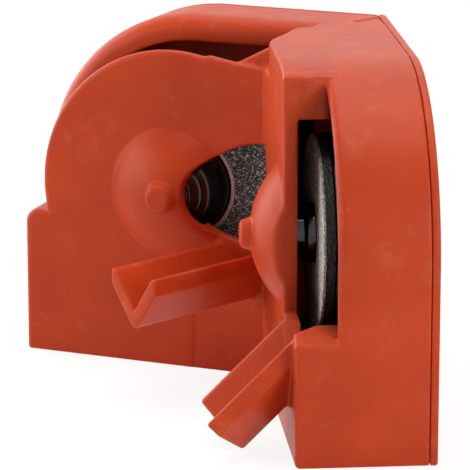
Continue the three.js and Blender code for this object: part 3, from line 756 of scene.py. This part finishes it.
# how thickly the painted shade lies: a near-black colour inside the chambers, clear of every outer face.
# A pair is where it starts and where it is full
chamberShadeReach = {"inRim": (1, 2), "behindFace": (3.5, 5), "besideRecess": (1, 3), "behindRecess": 1.5,
         "slotMargin": 0.7, "slotFrom": 2, "roofMargin": 0.3, "inArch": (1, 3), "behindPanel": (3, 4.5)}


def ease(value, start, end):
    share = np.clip((value - start) / (end - start), 0, 1)
    return share * share * (3 - 2 * share)


# lays the painted shade on the casing as its dust attribute, which the plastic turns near black
def paintChamberShade(obj):
    points = np.empty(len(obj.data.vertices) * 3, np.float32)
    obj.data.vertices.foreach_get("co", points)
    points = points.reshape(-1, 3) / mm
    sides = []
    for drum in (rightDrum, leftDrum):
        offset = points - np.array(drum["origin"])
        sides.append({"across": offset @ np.array(drum["across"]),
                      "depth": offset @ np.array(drum["inward"]), "up": offset[:, 2]})
    right, left = sides
    c = casing
    within = ease(-drumField(right, -1, c["rim"]), *chamberShadeReach["inRim"])
    start, full = chamberShadeReach["besideRecess"]
    behind = ease(right["depth"], *chamberShadeReach["behindFace"])
    behind = behind * ease(right["across"], c["recessBack"] + start, c["recessBack"] + full)
    beyond = ease(right["depth"], c["recess"], c["recess"] + chamberShadeReach["behindRecess"])
    rightChamberShade = within * np.maximum(behind, beyond)
    shallow = left["depth"] < c["slot"] + chamberShadeReach["slotMargin"]
    roof = left["up"] > c["rim"] - c["wall"] - chamberShadeReach["roofMargin"]
    slotEnd = (left["across"] > c["slotEnd"] - chamberShadeReach["slotMargin"]) & (left["depth"] > chamberShadeReach["slotFrom"])
    rightChamberShade = np.where(slotEnd & (shallow | roof), 0, rightChamberShade)
    leftChamberShade = ease(c["arch"] - np.hypot(left["across"], left["up"]), *chamberShadeReach["inArch"])
    leftChamberShade = leftChamberShade * ease(left["depth"], *chamberShadeReach["behindPanel"])
    dust = obj.data.attributes.new("dust", "FLOAT", "POINT")
    dust.data.foreach_set("value", np.maximum(rightChamberShade, leftChamberShade).astype(np.float32))


# how finely the pieces are meshed, in millimetres per cell, and the share of faces that is kept
fineness = {"casingCell": 0.45, "casingMargin": 2, "casingShare": 0.3, "coverCell": 0.3, "coverMargin": 1.5,
            "coverShare": 0.25, "quickTimes": 2}


def cellSize(size):
    return size


def makeCasing():
    low, high = blockAround("main_casing", fineness["casingMargin"])
    space = makeSpace(low, high, cellSize(fineness["casingCell"]))
    shell = meshField("casing_moulding", casingField(space), space, fineness["casingShare"])
    dress(shell, plastic, "root", "main_casing")
    paintChamberShade(shell)


makeCasing()
print("casing moulded")


# the covers: flat plates that close the far side of each drum, with the bearing's boss inside
cover = {
    "boss": 10, "bossLength": 6.5, "bossLap": 0.5, "bushSeat": 7.3, "port": 5.3, "seam": 0.15,
    "screwHole": 1.8, "screwSink": 3.2, "sinkDepth": 1.8, "sinkSlopeShare": 0.75,
    "edge": 0.7, "portEdge": 0.35, "cornerEdge": 0.3, "innerEdge": 0.2, "bossEdge": 0.4, "bossFillet": 0.6,
    "sinkEdge": 0.15,
}


def coverField(side, rimSide, depth, places, trim):
    inner = depth - casing["cover"]
    distance = np.hypot(side["across"], side["up"])
    plate = roundOver(drumField(side, rimSide, casing["rim"]), -axle - side["up"], edges["foot"])
    plate = roundOver(plate, trim, cover["cornerEdge"])
    plate = roundOver(plate, side["depth"] - depth, cover["edge"])
    plate = roundOver(plate, inner - casing["gap"] + cover["seam"] - side["depth"], cover["innerEdge"])
    boss = roundOver(distance - cover["boss"], inner - cover["bossLength"] - side["depth"],
                     cover["bossEdge"])
    boss = np.maximum(boss, side["depth"] - inner - cover["bossLap"])
    seat = np.maximum(distance - cover["bushSeat"], side["depth"] - inner)
    whole = blendIn(plate, boss, cover["bossFillet"])
    whole = cutAway(whole, np.minimum(seat, distance - cover["port"]), cover["portEdge"])
    for across, up in places:
        spread = np.hypot(side["across"] - across, side["up"] - up)
        cone = cover["screwHole"] + np.maximum(side["depth"] - depth + cover["sinkDepth"], 0)
        hole = (spread - np.minimum(cone, cover["screwSink"])) * cover["sinkSlopeShare"]
        whole = cutAway(whole, hole, cover["sinkEdge"])
    return whole


# the other drum's wall, at the depth trimAt, trims the plate's inner end
def makeCover(name, near, far, rimSide, depth, places, trimAt):
    low, high = blockAround(name, fineness["coverMargin"])
    space = makeSpace(low, high, cellSize(fineness["coverCell"]))
    field = coverField(space[near], rimSide, depth, places, space[far]["depth"] - trimAt)
    plate = meshField(f"{name}_plate", field, space, fineness["coverShare"])
    dress(plate, plastic, "root", name)


makeCover("right_cover", "right", "left", -1, casing["rightDepth"], rightScrews, casing["leftDepth"])
makeCover("rear_cover", "left", "right", 1, casing["leftDepth"], leftScrews, casing["rightCase"])
print("covers made")


# a closed outline of (depth, radius) points with every corner rounded, then cut into short runs
def roundedOutline(points, radius, cornerPoints=5, mostShare=0.4):
    rounded = []
    for before, here, after in zip(points[-1:] + points[:-1], points, points[1:] + points[:1]):
        here, arms = Vector(here), [Vector(before) - Vector(here), Vector(after) - Vector(here)]
        trim = min([radius] + [arm.length * mostShare for arm in arms])
        first, last = (here + arm.normalized() * trim for arm in arms)
        for step in range(cornerPoints):
            share = step / (cornerPoints - 1)
            rounded.append(first.lerp(here, share).lerp(here.lerp(last, share), share))
    return rounded


def shortRuns(points, run):
    cut = []
    for here, after in zip(points, points[1:] + points[:1]):
        count = max(1, round((after - here).length / run))
        cut += [here.lerp(after, step / count) for step in range(count)]
    return cut


# an outline turned about a drum's axle, with its points scattered by the jitter
def turned(name, outline, drum, steps, jitter=0, seed=0, turnShare=0.3):
    profile = np.array([tuple(point) for point in outline])
    turn = np.arange(steps) * 2 * np.pi / steps
    depth = np.repeat(profile[:, :1], steps, 1)
    radius = np.repeat(profile[:, 1:], steps, 1)
    turn = np.repeat(turn[None, :], len(profile), 0)
    if jitter:
        spread = np.random.default_rng(seed)
        depth = depth + spread.uniform(-jitter, jitter, depth.shape)
        radius = radius + spread.uniform(-jitter, jitter, depth.shape)
        turn = turn + spread.uniform(-turnShare, turnShare, depth.shape) * 2 * np.pi / steps
    origin, across, inward = (np.array(drum[key]) for key in ("origin", "across", "inward"))
    points = (origin + depth[..., None] * inward + (radius * np.cos(turn))[..., None] * across
              + (radius * np.sin(turn))[..., None] * np.array([0, 0, 1])) * mm
    rings = len(profile)
    ring, place = np.meshgrid(np.arange(rings), np.arange(steps), indexing="ij")
    nextRing, nextPlace = (ring + 1) % rings, (place + 1) % steps
    faces = np.stack([ring * steps + place, nextRing * steps + place,
                      nextRing * steps + nextPlace, ring * steps + nextPlace], -1).reshape(-1, 4)
    mesh = bpy.data.meshes.new(name)
    mesh.from_pydata(points.reshape(-1, 3).tolist(), [], faces.tolist())
    facing = bmesh.new()
    facing.from_mesh(mesh)
    bmesh.ops.recalc_face_normals(facing, faces=facing.faces)
    facing.to_mesh(mesh)
    facing.free()
    obj = bpy.data.objects.new(name, mesh)
    bpy.context.scene.collection.objects.link(obj)
    mesh.polygons.foreach_set("use_smooth", [True] * len(mesh.polygons))
    return obj, faces, profile


# the wheels: a black hub with stepped nose, flared waist and backing plate, and the grit on its face.
# The waist's points, like the outline's, are (depth, radius)
wheel = {
    "nose": 2.2, "noseRadius": 6.3, "well": 5.8, "wellDepth": 2.4, "bore": 4.3, "face": 9, "thick": 3,
    "plate": 4, "margin": 0.6, "corner": 0.35, "hubSteps": 144, "seal": 2.3, "washer": 1,
    "sleeve": 8, "flare": 2,
    "lipDrop": 0.9, "lipSlope": 0.25, "lipWidth": 0.3, "faceDrop": 0.05, "ringEdge": 0.15,
    "ringCornerPoints": 3, "grainShare": 0.8, "seed": 7, "lipMargin": 0.1, "lipDepth": 1, "bondFrom": 0.5,
}
wheels = {
    "light": {
        "radius": 25, "drum": rightDrum, "depth": casing["rightDepth"], "grain": 0.42, "jitter": 0.1,
        "waist": [(0, 6.4), (2.0, 6.4), (2.3, 7.0), (3.4, 7.0), (3.7, 6.5), (6.4, 6.6), (6.8, 7.3),
                  (8.7, 7.7)],
        "inner": 8.3, "lip": 8.9,
    },
    "dark": {
        "radius": 31, "drum": leftDrum, "depth": casing["leftDepth"], "grain": 0.4, "jitter": 0.13,
        "waist": [(-1.1, 7.0), (0, 8.1), (0, 8.7), (0.6, 8.7), (1.7, 9.8), (1.7, 10.3), (2.6, 10.3),
                  (4.2, 10.7), (6.0, 11.5), (7.5, 12.4), (8.7, 12.8)],
        "inner": 13.1, "lip": 14.4,
    },
}


def hubOutline(size, back):
    plateFrom = wheel["face"] + wheel["thick"] + casing["gap"]
    plateTo = plateFrom + wheel["plate"]
    outer = size["radius"] + wheel["margin"]
    nose, wellFloor = -wheel["nose"], wheel["wellDepth"] - wheel["nose"]
    return [
        (nose, wheel["well"]), (nose, wheel["noseRadius"]), *size["waist"],
        (plateFrom, size["waist"][-1][1]), (plateFrom, outer), (plateTo, outer),
        (plateTo, wheel["sleeve"] + wheel["flare"]),
        (plateTo + wheel["flare"], wheel["sleeve"]), (back, wheel["sleeve"]), (back, wheel["bore"]),
        (wellFloor, wheel["bore"]), (wellFloor, wheel["well"]),
    ]


def makeHub(name, size):
    gaps = casing["gap"] * 3  # three running gaps, between the hub, the seal, the washer and the boss
    end = size["depth"] - casing["cover"] - cover["bossLength"] - gaps - wheel["seal"] - wheel["washer"]
    outline = roundedOutline(hubOutline(size, end), wheel["corner"])
    hub, _, _ = turned(f"{name}_hub_moulding", outline, size["drum"], wheel["hubSteps"])
    dress(hub, hubPlastic, f"{name}_wheel", f"{name}_wheel_hub")


# the grit is on the face alone: the inner lip, the rim and the back are bare bond, the lip's painted pale as
# a highlight
def makeGritRing(name, size):
    face, back, inner, outer = wheel["face"], wheel["face"] + wheel["thick"], size["inner"], size["radius"]
    ring = [(face + wheel["lipDrop"], inner), (face + wheel["lipSlope"], inner + wheel["lipWidth"]),
            (face + wheel["faceDrop"], size["lip"]), (face, outer), (back, outer), (back, inner)]
    outline = shortRuns(roundedOutline(ring, wheel["ringEdge"], wheel["ringCornerPoints"]), size["grain"])
    around = round(2 * math.pi * outer * wheel["grainShare"] / size["grain"])
    band, faces, profile = turned(f"{name}_grit_band", outline, size["drum"], around, size["jitter"],
                                  wheel["seed"])
    dress(band, grits[name], f"{name}_wheel", f"{name}_grit_ring")
    # the lip's bond is a pale painted highlight
    band.data.materials.append(bonds["lip"])
    band.data.materials.append(bonds["back"])
    depth, radius = profile[faces[:, 0] // around].T
    isLip = (radius < size["lip"] - wheel["lipMargin"]) & (depth < face + wheel["lipDepth"])
    isBack = depth > face + wheel["bondFrom"]
    paints = np.where(isLip, 1, np.where(isBack, 2, 0)).astype(np.int32)
    band.data.polygons.foreach_set("material_index", paints)
    band.data.polygons.foreach_set("use_smooth", isLip)


for name, size in wheels.items():
    makeHub(name, size)
    makeGritRing(name, size)
print("wheels turned")


# plain stage: a pale floor in a white surround, which glossy surfaces see as the camera does
stage = {"floor": "f4f3f1", "glow": 1.08, "glowShare": 0.8, "ambient": 0.02, "surround": 1.0, "reach": 6000,
         "drop": 0.2}


def seenStraight(tree):  # one for the camera's rays, and for those from glossy or clear surfaces
    path = addNode(tree, "ShaderNodeLightPath").outputs
    seen = addNode(tree, "ShaderNodeMath", {"operation": "MAXIMUM"},
                   {0: path["Is Camera Ray"], 1: path["Is Glossy Ray"]})
    return addNode(tree, "ShaderNodeMath", {"operation": "MAXIMUM"},
                   {0: seen, 1: path["Is Transmission Ray"]})


def makeFloor():
    material, tree, _ = newMaterial("paleFloor")
    share = addNode(tree, "ShaderNodeMath", {"operation": "MULTIPLY", 1: stage["glowShare"]},
                    {0: seenStraight(tree)})
    lit = addNode(tree, "ShaderNodeBsdfDiffuse", {"Color": colour(stage["floor"])})
    glow = addNode(tree, "ShaderNodeEmission", {"Color": [1, 1, 1, 1], "Strength": stage["glow"]})
    both = addNode(tree, "ShaderNodeMixShader", {}, {0: share, 1: lit, 2: glow})
    addNode(tree, "ShaderNodeOutputMaterial", {}, {"Surface": both})
    reach = stage["reach"] * mm
    corners = [(-reach, -reach, 0), (reach, -reach, 0), (reach, reach, 0), (-reach, reach, 0)]
    mesh = bpy.data.meshes.new("floor")
    mesh.from_pydata(corners, [], [(0, 1, 2, 3)])
    mesh.materials.append(material)
    floor = bpy.data.objects.new("floor", mesh)
    bpy.context.scene.collection.objects.link(floor)
    floor.location.z = -stage["drop"] * mm


def makeSurround():
    world = bpy.data.worlds.new("studio")
    bpy.context.scene.world = world
    world.use_nodes = True
    tree = world.node_tree
    tree.nodes.clear()
    dim = addNode(tree, "ShaderNodeBackground", {"Color": [1, 1, 1, 1], "Strength": stage["ambient"]})
    bright = addNode(tree, "ShaderNodeBackground", {"Color": [1, 1, 1, 1], "Strength": stage["surround"]})
    both = addNode(tree, "ShaderNodeMixShader", {}, {0: seenStraight(tree), 1: dim, 2: bright})
    addNode(tree, "ShaderNodeOutputWorld", {}, {"Surface": both})


# soft square lamps, with their power in watts, all aimed at one point
lamps = {
    "top": {"place": (0, 0, 1000), "size": 800, "power": 6.6},
    "topBack": {"place": (0, 600, 800), "size": 700, "power": 1.5},
    "frontRight": {"place": (600, -900, 350), "size": 500, "power": 5.7},
    "left": {"place": (-1000, 0, 250), "size": 700, "power": 4.8},
    "backLeft": {"place": (-700, 700, 300), "size": 700, "power": 4.6},
    "front": {"place": (-60, -1100, 250), "size": 700, "power": 0.4},
}
aimPoint = (0, 20, 45)


def makeLamps():
    aim = Vector(aimPoint) * mm
    for name, lamp in lamps.items():
        data = bpy.data.lights.new(name, "AREA")
        data.energy = lamp["power"]
        data.size = lamp["size"] * mm
        obj = bpy.data.objects.new(name, data)
        bpy.context.scene.collection.objects.link(obj)
        obj.location = Vector(lamp["place"]) * mm
        obj.rotation_euler = (aim - obj.location).to_track_quat("-Z", "Y").to_euler()


makeFloor()
makeSurround()
makeLamps()
bpy.context.scene.view_settings.view_transform = "Standard"
print("stage lit")

# the small pieces keep their solids, and take a material by the words in their names
solidMaterials = {
    "spindle": metals["steel"], "hub_clip": metals["zinc"], "hub_pin": metals["steel"],
    "nose_bush": metals["bronze"], "cover_bush": metals["bronze"], "thrust_washer": metals["zinc"],
    "felt_seal": felt, "screw": metals["zinc"],
}
for name, obj in nodes.items():
    for words, material in solidMaterials.items():
        if words in name:
            obj.data.materials.clear()
            obj.data.materials.append(material)
print("solids painted")
